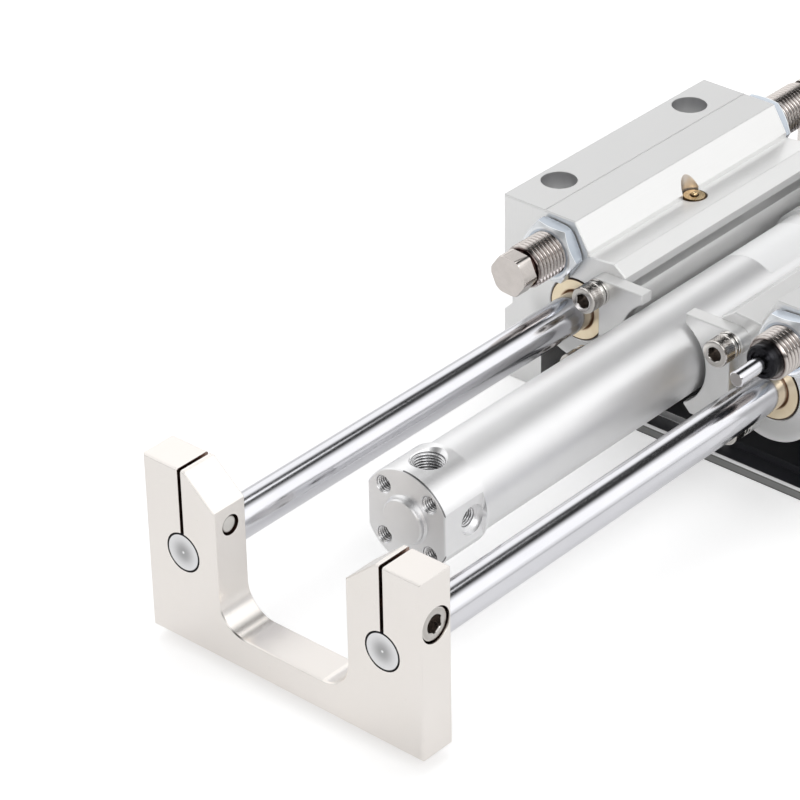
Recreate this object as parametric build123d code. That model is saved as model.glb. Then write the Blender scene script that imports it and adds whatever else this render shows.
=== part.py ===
from build123d import *
import math
import os

# Guided pneumatic cylinder, 25 mm bore. Millimetres.
# X is the stroke direction (the front plate is at +X), Y is left, Z is up.
# The origin is the centre of the four mounting holes, on the face the unit is bolted down by.

# Bore of the cylinder, and the reach of the stops beyond the guide body
bore = 25.0
rear_stop_tip = 23.4
front_stop_tip = 31.0
stop_gap = 0.05

# Guide body: two housings of the same section on a base plate
body_length = 100.0
body_width = 128.4
body_height = 63.0
axis_height = 33.5
foot_width = 14.7
land_inner = 36.8
bevel_foot_y = 31.6
bevel_foot_z = 21.1
trough_z = 19.6
lip_y = 17.5
lip_shoulder_y = 22.0
lip_shoulder_z = 20.4
lip_top_z = 17.2
lip_bottom_z = 14.5
undercut_z = 8.3
lobe_radius = 17.1
lobe_web = 0.9
groove_depth = 3.0
groove_low_z = -10.2
groove_high_z = 1.0
score_y = 48.3
score_width = 0.4
score_depth = 0.15
edge_break = 0.4

# Mounting holes through the feet
mount_pitch_x = 65.0
mount_pitch_y = 114.0
mount_hole_radius = 3.3
mount_sink_radius = 5.6
mount_sink_depth = 12.0

# Base plate between the feet
plate_rim = 4.0
plate_pad = 2.4
plate_step = 6.2
side_screw_diameter = 2.5
side_screw_length = 22.0
side_screw_pitch = 40.0
side_screw_sunk = 0.5

# Guide rods and their bushes
rod_pitch = 71.5
rod_diameter = 12.0
bush_outer = 20.0
bush_length = 26.0
bush_lip = 0.6
bush_mouth = 0.5
running_gap = 0.03
press_gap = 0.01
thread_gap = 0.05
tap_mouth = 0.3
tap_spare = 1.0

# Socket head cap screws, as shares of the thread diameter
head_share = 0.75
head_extra = 0.5
head_break = 0.08
socket_share = 0.8
socket_seat = 0.45
sink_margin = 0.4
shank_margin = 0.25

# Rear plate, clamped on the rods
rear_plate_thickness = 12.0
plate_width = 98.2
rear_plate_top = 26.4
rear_plate_bottom = -29.4
throat_half = 23.3
throat_floor = -19.3
throat_radius = 9.5
arm_slope_y = 33.8
arm_slope_z = 17.4
slit_width = 1.2
clamp_height = 11.2
clamp_screw_diameter = 6.0
clamp_screw_sunk = 0.5
clamp_screw_short = 0.6
rear_overhang = 157.4
rod_end_break = 0.5

# Front plate, screwed to the three rods
front_plate_thickness = 16.0
front_plate_corner = 3.0
rod_socket = 6.0
rod_screw_diameter = 6.0
rod_screw_length = 16.0
rod_screw_sunk = 0.4
rod_tap_depth = 18.0
load_pitch_y = 44.0
load_pitch_z = 36.0
load_hole_radius = 3.0

# End stops
stop_y = 43.3
stop_z = 18.8
stop_diameter = 14.0
stop_length = 45.0
stop_hex = 12.0
stop_hex_turn = 5.0
stop_hex_length = 5.4
stop_hex_trim = 0.25
stop_neck = 1.4
stop_neck_drop = 0.3
stop_thread_break = 0.8
nut_across = 17.8
nut_thickness = 5.0
nut_face_drop = 0.4
nut_slope = 30.0
rear_nut_turn = 4.0
front_nut_turn = 0.0
absorber_reach = 16.2
absorber_length = 62.0
absorber_wall = 2.4
absorber_bottom = 5.0
absorber_cap = 3.0
absorber_cap_drop = 1.7
absorber_cap_break = 0.5
absorber_plug = 4.0
absorber_recess = 3.6
absorber_recess_depth = 0.8
pin_diameter = 4.8
pin_lead = 4.6
pin_break = 0.4
pin_inside = 30.0
pin_piston = 8.0

# Holders that steady the cylinder at the rear of the body
holder_thickness = 4.5
holder_bore = 15.6
holder_tip_y = 8.0
holder_top = 16.7
holder_bottom = -16.4
holder_leg = 24.1
holder_leg_z = -4.0
holder_lug = 4.3
holder_break = 0.3
lower_tip_cut = 2.4
lower_screw_y = 28.6
holder_screw_diameter = 5.0
holder_screw_length = 16.0
holder_tap_depth = 15.0
washer_thickness = 2.5
washer_margin = 0.1

# Cylinder
tube_outer = 28.5
cover_diameter = 31.0
cover_flats = 27.8
cover_flange = 1.0
cover_length = 17.0
rod_cover_length = 29.0
spigot_depth = 4.5
boss_diameter = 14.0
boss_height = 2.0
boss_break = 0.4
boss_foot = 0.6
cover_screw_pitch = 16.5
cover_screw_diameter = 5.0
cover_hole_depth = 8.0
port_radius = 4.85
port_mouth = 1.1
port_from_end = 9.5
rod_port_from_end = 13.0
side_hole_radius = 3.0
side_sink_radius = 4.6
side_sink_depth = 2.0
side_hole_depth = 5.0
side_hole_from_end = 11.5
passage_radius = 2.0
passage_drop = 3.5
gasket_width = 2.0
gasket_depth = 1.4
piston_rod_diameter = 10.0
piston_rod_step = 1.0
piston_length = 11.0
piston_clearance = 0.25
piston_spare = 8.025
seal_width = 2.4
seal_depth = 2.2
seal_play = 0.05
bumper_thickness = 1.5
bumper_width = 4.0
bumper_clearance = 1.0
rod_bush_wall = 1.5
rod_seal_wall = 1.9
rod_seal_length = 7.0
rod_seal_drop = 1.0

# Plate that fixes the rod cover to the front of the body
front_mount_thickness = 6.0
front_mount_half_width = 31.0
front_mount_half_height = 16.7
front_mount_corner = 2.0
front_mount_screw_length = 18.0
cover_bolt_length = 13.0
boss_play = 0.1
rod_play = 1.0
nut_play = 0.6

# Grease nipples, one over each guide rod
nipple_y = 30.2
nipple_radius = 3.9
nipple_sink = 4.1
nipple_ball = 1.1
nipple_seat_z = 18.6
nipple_proud = 0.5
nipple_break = 0.3
nipple_stem = 6.0

# Derived places along X and across Y
half_body = body_length / 2
rod_y = rod_pitch / 2
rod_radius = rod_diameter / 2
piston_rod_radius = piston_rod_diameter / 2
absorber_bore = stop_diameter / 2 - absorber_wall
half_width = body_width / 2
foot_inner = half_width - foot_width
top_z = body_height - axis_height
rear_stop_face = -half_body - rear_stop_tip
front_stop_face = half_body + front_stop_tip
rear_plate_front = -half_body - rear_overhang
rear_plate_rear = rear_plate_front - rear_plate_thickness
front_plate_rear = front_stop_face + stop_gap
front_plate_front = front_plate_rear + front_plate_thickness
travel = rear_stop_face - stop_gap - rear_plate_front
tube_front = half_body - rod_cover_length
bumper_front = tube_front - spigot_depth
piston_front = bumper_front - bumper_thickness - piston_spare - travel
piston_rear = piston_front - piston_length
bumper_rear = piston_rear - piston_spare - bumper_thickness
tube_rear = bumper_rear - spigot_depth
cover_rear = tube_rear - cover_length
upper_screw = (holder_leg, holder_top - holder_lug)
lower_screw = (lower_screw_y, holder_bottom + holder_lug)
plate_middle = -axis_height + (plate_rim + plate_pad) / 2
side_seat = half_width - side_screw_diameter - side_screw_sunk
clamp_middle = (rear_plate_rear + rear_plate_front) / 2
clamp_seat = plate_width / 2 - clamp_screw_diameter - clamp_screw_sunk
rod_screw_seat = front_plate_front - rod_screw_diameter - rod_screw_sunk
cover_hole_radius = cover_screw_diameter / 2 + thread_gap
seal_rear = half_body + boss_height - rod_seal_drop - rod_seal_length
passage_z = bore / 2 - passage_drop
port_floor = passage_z - passage_radius
nodes = {}


def box(x0, x1, y0, y1, z0, z1):
    """Block between two corners."""
    middle = Pos((x0 + x1) / 2, (y0 + y1) / 2, (z0 + z1) / 2)
    return middle * Box(x1 - x0, y1 - y0, z1 - z0)


def rod_x(radius, x0, x1, y=0.0, z=0.0):
    """Round bar along X."""
    return Pos((x0 + x1) / 2, y, z) * Rot(0, 90, 0) * Cylinder(radius, x1 - x0)


def rod_y_way(radius, y0, y1, x=0.0, z=0.0):
    """Round bar along Y."""
    return Pos(x, (y0 + y1) / 2, z) * Rot(90, 0, 0) * Cylinder(radius, y1 - y0)


def rod_z(radius, z0, z1, x=0.0, y=0.0):
    """Round bar along Z."""
    return Pos(x, y, (z0 + z1) / 2) * Cylinder(radius, z1 - z0)


def prism_x(face, x0, x1):
    """Section drawn across Y and Z, pulled along X."""
    return extrude(Plane.YZ.offset(x0) * face, amount=x1 - x0)


def hexagon_x(across, x0, x1, y=0.0, z=0.0, turn=0.0):
    """Hexagonal bar along X, with a corner at the angle turn from +Y."""
    corner = across / math.sqrt(3)
    face = Rot(0, 0, turn) * RegularPolygon(corner, 6)
    return prism_x(Pos(y, z) * face, x0, x1)


def head_radius(diameter):
    """Radius of the head of a cap screw."""
    return head_share * diameter + head_extra


def cap_screw(diameter, length, place, lift=0.0):
    """Socket head cap screw. The underside of its head lies on the plane's origin,
    lifted by what lies under it, and the plane's normal points out of the head."""
    head = Pos(0, 0, lift + diameter / 2) * Cylinder(head_radius(diameter), diameter)
    head = chamfer(head.edges().sort_by(Axis.Z)[-1], head_break * diameter)
    shank = Pos(0, 0, (lift - length) / 2) * Cylinder(diameter / 2, length + lift)
    socket_face = RegularPolygon(socket_share * diameter / math.sqrt(3), 6)
    socket = extrude(Pos(0, 0, lift + socket_seat * diameter) * socket_face, amount=diameter)
    return place * (head + shank - socket)


def mouth_x_way(radius, widening, mouth_x, inward, y=0.0, z=0.0):
    """Cone that breaks the edge of a hole along X, whose mouth is at mouth_x."""
    lip = Cone(radius, radius + 2 * widening, 2 * widening)
    return Pos(mouth_x, y, z) * Rot(0, -90 * inward, 0) * lip


def tapped_x(radius, mouth_x, floor_x, y, z):
    """Tapped hole along X, drilled from mouth_x to floor_x, with a broken edge at its mouth."""
    x0, x1 = sorted((mouth_x, floor_x))
    inward = 1 if floor_x > mouth_x else -1
    return rod_x(radius, x0, x1, y, z) + mouth_x_way(radius, tap_mouth, mouth_x, inward, y, z)


def both_sides(shape):
    """A left piece and its mirror image on the right."""
    return shape, mirror(shape, about=Plane.XZ)


def housing_section():
    """Section of the left housing: bolt-down foot, land, bevel, trough, lip and round lobe.
    The lobe runs into the foot, or into a web above it where the foot stands further out."""
    reach = math.sqrt(lobe_radius ** 2 - undercut_z ** 2)
    lobe_start = (rod_y - reach, undercut_z)
    lobe_side = (rod_y - lobe_radius, 0)
    lobe_end_y = min(foot_inner, rod_y + lobe_radius * lobe_web)
    lobe_drop = math.sqrt(lobe_radius ** 2 - (lobe_end_y - rod_y) ** 2)
    lobe_end = (lobe_end_y, -lobe_drop)
    web = [(foot_inner, -lobe_drop)] if foot_inner > lobe_end_y else []
    groove_y = half_width - groove_depth
    outer = Polyline(
        lobe_end,
        *web,
        (foot_inner, -axis_height),
        (half_width, -axis_height),
        (half_width, groove_low_z),
        (groove_y, groove_low_z + groove_depth),
        (groove_y, groove_high_z - groove_depth),
        (half_width, groove_high_z),
        (half_width, top_z),
        (land_inner, top_z),
        (bevel_foot_y, bevel_foot_z),
        (bevel_foot_y, trough_z),
        (lip_shoulder_y, lip_shoulder_z),
        (lip_y, lip_top_z),
        (lip_y, lip_bottom_z),
        lobe_start,
    )
    lobe = ThreePointArc(lobe_start, lobe_side, lobe_end)
    return make_face(outer + lobe)


def mount_places():
    """The four bolt-down holes."""
    return [
        (sx * mount_pitch_x / 2, sy * mount_pitch_y / 2)
        for sx in (-1, 1)
        for sy in (-1, 1)
    ]


def side_screw_places():
    """X of the screws that hold the base plate in each foot."""
    return [-side_screw_pitch, 0.0, side_screw_pitch]


def guide_housing():
    """Left housing with every hole in it. The edges of its ends are broken, but for the lobe's
    and the foot's inner one."""
    body = prism_x(housing_section(), -half_body, half_body)
    ends = body.faces().filter_by(Axis.X).edges()
    ends = ends.filter_by(
        lambda e: e.geom_type != GeomType.CIRCLE and abs(e.center().Y - foot_inner) > 0.01
    )
    body = chamfer(ends, edge_break)
    bush_hole = bush_outer / 2 + press_gap
    body -= rod_x(bush_hole, -half_body, half_body, rod_y)
    body -= mouth_x_way(bush_hole, bush_mouth, -half_body, 1, rod_y)
    body -= mouth_x_way(bush_hole, bush_mouth, half_body, -1, rod_y)
    body -= rod_x(stop_diameter / 2 + thread_gap, -half_body, half_body, stop_y, stop_z)
    for x, y in mount_places():
        if y > 0:
            body -= rod_z(mount_hole_radius, -axis_height, top_z, x, y)
            body -= rod_z(mount_sink_radius, top_z - mount_sink_depth, top_z, x, y)
    screw_hole = holder_screw_diameter / 2 + thread_gap
    for y, z in (upper_screw, lower_screw):
        body -= rod_x(screw_hole, -half_body, holder_tap_depth - half_body, y, z)
        body -= rod_x(screw_hole, half_body - holder_tap_depth, half_body, y, z)
    body -= rod_z(nipple_sink, nipple_seat_z, top_z, 0, nipple_y)
    body -= rod_z(nipple_radius / 2 + thread_gap, 0, nipple_seat_z, 0, nipple_y)
    body -= box(-half_body, half_body, score_y - score_width / 2, score_y + score_width / 2,
                top_z - score_depth, top_z)
    hole = side_screw_diameter / 2 + thread_gap
    sink = head_radius(side_screw_diameter) + sink_margin
    for x in side_screw_places():
        body -= rod_y_way(hole, foot_inner, half_width, x, plate_middle)
        body -= rod_y_way(sink, side_seat, half_width, x, plate_middle)
    return body


def base_plate():
    """Stepped plate between the feet, flush with their soles."""
    floor = -axis_height
    rim = box(-half_body, half_body, -foot_inner, foot_inner, floor, floor + plate_rim)
    pad_end = half_body - plate_step
    pad = box(-pad_end, pad_end, -foot_inner, foot_inner,
              floor + plate_rim, floor + plate_rim + plate_pad)
    plate = rim + pad
    reach = side_screw_length - (side_seat - foot_inner) + tap_spare
    for x in side_screw_places():
        for side in (-1, 1):
            y0, y1 = sorted((side * foot_inner, side * (foot_inner - reach)))
            plate -= rod_y_way(side_screw_diameter / 2 + thread_gap, y0, y1, x, plate_middle)
    return plate


def side_screws():
    """Cap screws through the feet into the edges of the base plate."""
    screws = []
    for x in side_screw_places():
        for side in (-1, 1):
            origin = (x, side * side_seat, plate_middle)
            place = Plane(origin, x_dir=(1, 0, 0), z_dir=(0, side, 0))
            screws.append(cap_screw(side_screw_diameter, side_screw_length, place))
    return screws


def bush(x0, x1, mouth):
    """Bronze bush on the left rod, with a broken edge where the rod enters."""
    shape = rod_x(bush_outer / 2, x0, x1, rod_y)
    shape -= rod_x(rod_radius + running_gap, x0, x1, rod_y)
    inner = shape.edges().filter_by(GeomType.CIRCLE)
    inner = inner.filter_by(lambda e: abs(e.center().X - mouth) < 0.01)
    inner = inner.sort_by(SortBy.LENGTH)[0]
    return chamfer(inner, bush_lip)


def rear_plate():
    """U-shaped plate with a split clamp round each guide rod."""
    hw = plate_width / 2
    left = Polyline(
        (0, rear_plate_bottom),
        (hw, rear_plate_bottom),
        (hw, rear_plate_top),
        (arm_slope_y, rear_plate_top),
        (throat_half, arm_slope_z),
        (throat_half, throat_floor),
        (0, throat_floor),
        close=True,
    )
    face = make_face(left)
    face = face + mirror(face, about=Plane.YZ)
    plate = prism_x(face, rear_plate_rear, rear_plate_front)
    inside = plate.edges().filter_by(Axis.X)
    corners = inside.filter_by(
        lambda e: abs(e.center().Z - throat_floor) < 0.01 and abs(e.center().Y) > 1
    )
    plate = fillet(corners, throat_radius)
    ends = plate.faces().filter_by(Axis.X)
    plate = chamfer(ends.edges(), edge_break)
    hole = clamp_screw_diameter / 2 + thread_gap
    sink = head_radius(clamp_screw_diameter) + sink_margin
    for side in (-1, 1):
        y = side * rod_y
        plate -= rod_x(rod_radius + press_gap, rear_plate_rear, rear_plate_front, y)
        plate -= box(rear_plate_rear, rear_plate_front, y - slit_width / 2, y + slit_width / 2,
                     0, rear_plate_top)
        y0, y1 = sorted((side * throat_half, side * hw))
        plate -= rod_y_way(hole, y0, y1, clamp_middle, clamp_height)
        y0, y1 = sorted((side * clamp_seat, side * hw))
        plate -= rod_y_way(sink, y0, y1, clamp_middle, clamp_height)
    return plate


def clamp_screws():
    """Screws that draw the slit arms of the rear plate together."""
    length = clamp_seat - throat_half - clamp_screw_short
    screws = []
    for side in (-1, 1):
        origin = (clamp_middle, side * clamp_seat, clamp_height)
        place = Plane(origin, x_dir=(1, 0, 0), z_dir=(0, side, 0))
        screws.append(cap_screw(clamp_screw_diameter, length, place))
    return screws


def rod_bars():
    """Left guide rod, flush with the back of the rear plate and let into the front plate."""
    front = front_plate_rear + rod_socket
    bar = rod_x(rod_radius, rear_plate_rear, front, rod_y)
    bar = chamfer(bar.edges().filter_by(GeomType.CIRCLE), rod_end_break)
    bar -= rod_x(rod_screw_diameter / 2 + thread_gap, front - rod_tap_depth, front, rod_y)
    return bar


def front_plate():
    """Load plate with sockets for the three rods and four tapped holes."""
    hw = plate_width / 2
    height = rear_plate_top - rear_plate_bottom
    outline = RectangleRounded(2 * hw, height, front_plate_corner)
    face = Pos(0, (rear_plate_top + rear_plate_bottom) / 2) * outline
    plate = prism_x(face, front_plate_rear, front_plate_front)
    ends = plate.faces().filter_by(Axis.X)
    plate = chamfer(ends.edges(), edge_break)
    rods = ((rod_y, rod_radius), (-rod_y, rod_radius), (0, piston_rod_diameter / 2))
    socket_floor = front_plate_rear + rod_socket
    sink = head_radius(rod_screw_diameter) + sink_margin
    for y, radius in rods:
        plate -= rod_x(radius + press_gap, front_plate_rear, socket_floor, y)
        plate -= rod_x(rod_screw_diameter / 2 + thread_gap, socket_floor, rod_screw_seat, y)
        plate -= rod_x(sink, rod_screw_seat, front_plate_front, y)
    for sy in (-1, 1):
        for sz in (-1, 1):
            y, z = sy * load_pitch_y / 2, sz * load_pitch_z / 2
            plate -= tapped_x(load_hole_radius, front_plate_front, front_plate_rear, y, z)
    return plate


def rod_screws():
    """Cap screws from the front plate into the ends of the three rods."""
    screws = []
    for y in (-rod_y, 0, rod_y):
        place = Plane((rod_screw_seat, y, 0), x_dir=(0, 1, 0), z_dir=(1, 0, 0))
        screws.append(cap_screw(rod_screw_diameter, rod_screw_length, place))
    return screws


def stop_bolt():
    """Rear left stop: fine thread through the housing end, neck and hexagon at its tip."""
    tip = rear_stop_face
    thread_start = tip + stop_hex_length + stop_neck
    bolt = rod_x(stop_diameter / 2, thread_start, tip + stop_length, stop_y, stop_z)
    bolt = chamfer(bolt.edges().filter_by(GeomType.CIRCLE), stop_thread_break)
    neck_end = tip + stop_hex_length
    bolt += rod_x(stop_hex / 2 - stop_neck_drop, neck_end, thread_start, stop_y, stop_z)
    head = hexagon_x(stop_hex, tip, neck_end, stop_y, stop_z, stop_hex_turn)
    barrel = rod_x(stop_hex / math.sqrt(3) - stop_hex_trim, tip, neck_end, stop_y, stop_z)
    barrel = chamfer(barrel.edges().filter_by(GeomType.CIRCLE).sort_by(Axis.X)[0], stop_hex_trim)
    return bolt + (head & barrel)


def lock_nut(turn):
    """Rear left lock nut against the end of the housing, its corners turned off on both faces."""
    x0, x1 = -half_body - nut_thickness, -half_body
    corner = nut_across / math.sqrt(3)
    face = nut_across / 2 - nut_face_drop
    slope = (corner - face) * math.tan(math.radians(nut_slope))
    outline = Polyline(
        (x0, 0),
        (x0, face),
        (x0 + slope, corner),
        (x1 - slope, corner),
        (x1, face),
        (x1, 0),
        close=True,
    )
    turning = Pos(0, stop_y, stop_z) * revolve(make_face(outline), Axis.X)
    nut = hexagon_x(nut_across, x0, x1, stop_y, stop_z, turn) & turning
    return nut - rod_x(stop_diameter / 2 + thread_gap, x0, x1, stop_y, stop_z)


def absorber_body():
    """Rear left absorber tube: fine thread outside, bored for its piston."""
    x0 = -half_body - absorber_reach + absorber_cap
    x1 = x0 + absorber_length
    tube = rod_x(stop_diameter / 2, x0, x1, stop_y, stop_z)
    tube = chamfer(tube.edges().filter_by(GeomType.CIRCLE), stop_thread_break)
    return tube - rod_x(absorber_bore, x0, x1 - absorber_bottom, stop_y, stop_z)


def absorber_end_ring():
    """Black ring that closes the absorber round its pin."""
    x0 = -half_body - absorber_reach
    x1 = x0 + absorber_cap
    ring = rod_x(stop_diameter / 2 - absorber_cap_drop, x0, x1, stop_y, stop_z)
    mouth = ring.edges().filter_by(GeomType.CIRCLE).sort_by(Axis.X)[0]
    ring = chamfer(mouth, absorber_cap_break)
    ring += rod_x(absorber_bore - press_gap, x1, x1 + absorber_plug, stop_y, stop_z)
    ring -= rod_x(absorber_recess, x0, x0 + absorber_recess_depth, stop_y, stop_z)
    return ring - rod_x(pin_diameter / 2 + running_gap, x0, x1 + absorber_plug, stop_y, stop_z)


def absorber_pin(lead):
    """Absorber pin and its piston. Lead is how far it stands out beyond the stop bolts."""
    tip = rear_stop_face - lead
    end = tip + pin_inside
    pin = rod_x(pin_diameter / 2, tip, end, stop_y, stop_z)
    pin = chamfer(pin.edges().filter_by(GeomType.CIRCLE).sort_by(Axis.X)[0], pin_break)
    return pin + rod_x(absorber_bore - thread_gap, end, end + pin_piston, stop_y, stop_z)


def holder():
    """Left holder: a claw half round the cylinder, with a lug for each of its two screws."""
    uy, uz = upper_screw
    ly, lz = lower_screw
    tip_z = math.sqrt(holder_bore ** 2 - holder_tip_y ** 2)
    outline = Polyline(
        (holder_tip_y, tip_z),
        (holder_tip_y, holder_top),
        (uy, holder_top),
    )
    outline += ThreePointArc((uy, holder_top), (uy + holder_lug, uz), (uy, uz - holder_lug))
    outline += Polyline((uy, uz - holder_lug), (holder_leg, holder_leg_z), (ly + holder_lug, lz))
    outline += ThreePointArc(
        (ly + holder_lug, lz),
        (ly + holder_lug / math.sqrt(2), lz - holder_lug / math.sqrt(2)),
        (ly, holder_bottom),
    )
    outline += Polyline(
        (ly, holder_bottom),
        (holder_tip_y + lower_tip_cut, holder_bottom),
        (holder_tip_y, holder_bottom + lower_tip_cut),
        (holder_tip_y, -tip_z),
    )
    outline += ThreePointArc((holder_tip_y, -tip_z), (holder_bore, 0), (holder_tip_y, tip_z))
    x0 = -half_body - holder_thickness
    claw = prism_x(make_face(outline), x0, -half_body)
    claw = chamfer(claw.faces().sort_by(Axis.X)[0].edges(), holder_break)
    for y, z in (upper_screw, lower_screw):
        claw -= rod_x(holder_screw_diameter / 2 + shank_margin, x0, -half_body, y, z)
    return claw


def holder_screws():
    """Two cap screws in each holder."""
    screws = []
    for side in (-1, 1):
        for y, z in (upper_screw, lower_screw):
            origin = (-half_body - holder_thickness, side * y, z)
            place = Plane(origin, x_dir=(0, 1, 0), z_dir=(-1, 0, 0))
            screw = cap_screw(holder_screw_diameter, holder_screw_length, place, washer_thickness)
            screws.append(screw)
    return screws


def holder_washers():
    """Plain and spring washer under each holder screw, as one stack."""
    x1 = -half_body - holder_thickness
    x0 = x1 - washer_thickness
    washers = []
    for side in (-1, 1):
        for y, z in (upper_screw, lower_screw):
            ring = rod_x(holder_lug - washer_margin, x0, x1, side * y, z)
            ring -= rod_x(holder_screw_diameter / 2 + washer_margin, x0, x1, side * y, z)
            washers.append(ring)
    return washers


def cover_blank(end, seam):
    """Round cover with a flat on each side, up to the flange that meets the tube at seam."""
    x0, x1 = sorted((end, seam))
    shape = rod_x(cover_diameter / 2, x0, x1)
    flange = seam - cover_flange if seam > end else seam + cover_flange
    x0, x1 = sorted((end, flange))
    half, reach = cover_flats / 2, cover_diameter
    for y0, y1 in ((half, reach), (-reach, -half)):
        shape -= box(x0, x1, y0, y1, -reach, reach)
    return shape


def cover_holes(end, inward):
    """Tapped holes in a cover's end face, which lies at end and faces away from inward."""
    half = cover_screw_pitch / 2
    floor = end + inward * cover_hole_depth
    return [
        tapped_x(cover_hole_radius, end, floor, sy * half, sz * half)
        for sy in (-1, 1)
        for sz in (-1, 1)
    ]


def port_cut(x):
    """Air port from the top of a cover down to its passage, with a broken mouth."""
    top = cover_diameter / 2
    hole = rod_z(port_radius, port_floor, top + port_mouth, x)
    mouth = Cone(port_radius, port_radius + 2 * port_mouth, 2 * port_mouth)
    return hole + Pos(x, 0, top) * mouth


def side_cut(x, side):
    """Tapped side hole with the round recess about it."""
    outer = cover_diameter / 2
    flat = cover_flats / 2
    y0, y1 = sorted((side * (flat - side_sink_depth), side * outer))
    sink = rod_y_way(side_sink_radius, y0, y1, x)
    y0, y1 = sorted((side * (flat - side_sink_depth - side_hole_depth), side * outer))
    return sink + rod_y_way(side_hole_radius, y0, y1, x)


def gasket_groove(middle):
    """Groove round a spigot for its gasket."""
    x0, x1 = middle - gasket_width / 2, middle + gasket_width / 2
    return rod_x(bore / 2, x0, x1) - rod_x(bore / 2 - gasket_depth, x0, x1)


def head_cover():
    """Rear cover: boss, four tapped holes, air port and side holes."""
    cover = cover_blank(cover_rear, tube_rear)
    cover = chamfer(cover.edges().group_by(Axis.X)[0], edge_break)
    boss = rod_x(boss_diameter / 2, cover_rear - boss_height, cover_rear)
    cover += chamfer(boss.edges().filter_by(GeomType.CIRCLE).sort_by(Axis.X)[0], boss_break)
    foot = Cone(boss_diameter / 2 + boss_foot, boss_diameter / 2, boss_foot)
    cover += Pos(cover_rear - boss_foot / 2, 0, 0) * Rot(0, -90, 0) * foot
    cover += rod_x(bore / 2 - press_gap, tube_rear, bumper_rear)
    for cut in cover_holes(cover_rear, 1):
        cover -= cut
    cover -= port_cut(cover_rear + port_from_end)
    passage = cover_rear + port_from_end
    cover -= rod_x(passage_radius, passage, bumper_rear, 0, passage_z)
    for side in (-1, 1):
        cover -= side_cut(cover_rear + side_hole_from_end, side)
    return cover - gasket_groove((tube_rear + bumper_rear) / 2)


def rod_cover():
    """Front cover: bored for the piston rod, its bush and its seal."""
    cover = cover_blank(half_body, tube_front)
    cover += rod_x(boss_diameter / 2, half_body, half_body + boss_height)
    cover += rod_x(bore / 2 - press_gap, bumper_front, tube_front)
    for cut in cover_holes(half_body, -1):
        cover -= cut
    cover -= port_cut(half_body - rod_port_from_end)
    passage = half_body - rod_port_from_end
    cover -= rod_x(passage_radius, bumper_front, passage, 0, passage_z)
    for side in (-1, 1):
        cover -= side_cut(half_body - rod_port_from_end, side)
    cover -= rod_x(piston_rod_radius + rod_bush_wall, bumper_front, seal_rear)
    cover -= rod_x(piston_rod_radius + rod_seal_wall, seal_rear, half_body + boss_height)
    return cover - gasket_groove((tube_front + bumper_front) / 2)


def cylinder_tube():
    """Drawn tube between the covers, over their spigots."""
    tube = rod_x(tube_outer / 2, tube_rear, tube_front)
    return tube - rod_x(bore / 2, tube_rear, tube_front)


def tube_gaskets():
    """Ring in the groove of each spigot."""
    rings = []
    half = gasket_width / 2 - press_gap
    for middle in ((tube_rear + bumper_rear) / 2, (tube_front + bumper_front) / 2):
        hoop = rod_x(bore / 2 - press_gap, middle - half, middle + half)
        inner = bore / 2 - gasket_depth + press_gap
        rings.append(hoop - rod_x(inner, middle - half, middle + half))
    return rings


def rod_bush():
    """Bush that guides the piston rod in the front cover."""
    shape = rod_x(piston_rod_radius + rod_bush_wall - press_gap, bumper_front, seal_rear)
    return shape - rod_x(piston_rod_radius + running_gap, bumper_front, seal_rear)


def rod_seal():
    """Lip seal round the piston rod, at the mouth of the front cover."""
    x1 = seal_rear + rod_seal_length
    shape = rod_x(piston_rod_radius + rod_seal_wall - press_gap, seal_rear, x1)
    return shape - rod_x(piston_rod_radius + running_gap, seal_rear, x1)


def bumpers():
    """Rubber ring on each cover that the piston lands on."""
    outer = bore / 2 - bumper_clearance
    rings = []
    for x0, x1 in (
        (bumper_rear, bumper_rear + bumper_thickness),
        (bumper_front - bumper_thickness, bumper_front),
    ):
        ring = rod_x(outer, x0, x1) - rod_x(outer - bumper_width, x0, x1)
        rings.append(ring - rod_x(passage_radius, x0, x1, 0, passage_z))
    return rings


def piston():
    """Piston with grooves for its seal, its wear ring and its magnet."""
    outer = bore / 2 - piston_clearance
    body = rod_x(outer, piston_rear, piston_front)
    body -= rod_x(piston_rod_radius - piston_rod_step + press_gap, piston_rear, piston_front)
    for middle in ring_places():
        groove = rod_x(bore / 2, middle - seal_width / 2, middle + seal_width / 2)
        groove -= rod_x(outer - seal_depth, middle - seal_width / 2, middle + seal_width / 2)
        body -= groove
    return body


def ring_places():
    """X of the middle of the three rings on the piston, with equal lands beside them."""
    land = (piston_length - 3 * seal_width) / 4
    pitch = land + seal_width
    middle = (piston_rear + piston_front) / 2
    return [middle - pitch, middle, middle + pitch]


def piston_ring(middle, outer):
    """Ring that fills one of the piston's grooves."""
    inner = bore / 2 - piston_clearance - seal_depth + press_gap
    half = seal_width / 2 - seal_play
    ring = rod_x(outer, middle - half, middle + half)
    return ring - rod_x(inner, middle - half, middle + half)


def piston_rod():
    """Piston rod with a reduced end for the piston and a tapped front end."""
    front = front_plate_rear + rod_socket
    bar = rod_x(piston_rod_radius, piston_front, front)
    bar = chamfer(bar.edges().filter_by(GeomType.CIRCLE).sort_by(Axis.X)[-1], rod_end_break)
    bar += rod_x(piston_rod_radius - piston_rod_step, piston_rear, piston_front)
    return bar - rod_x(rod_screw_diameter / 2 + thread_gap, front - rod_tap_depth, front)


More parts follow.
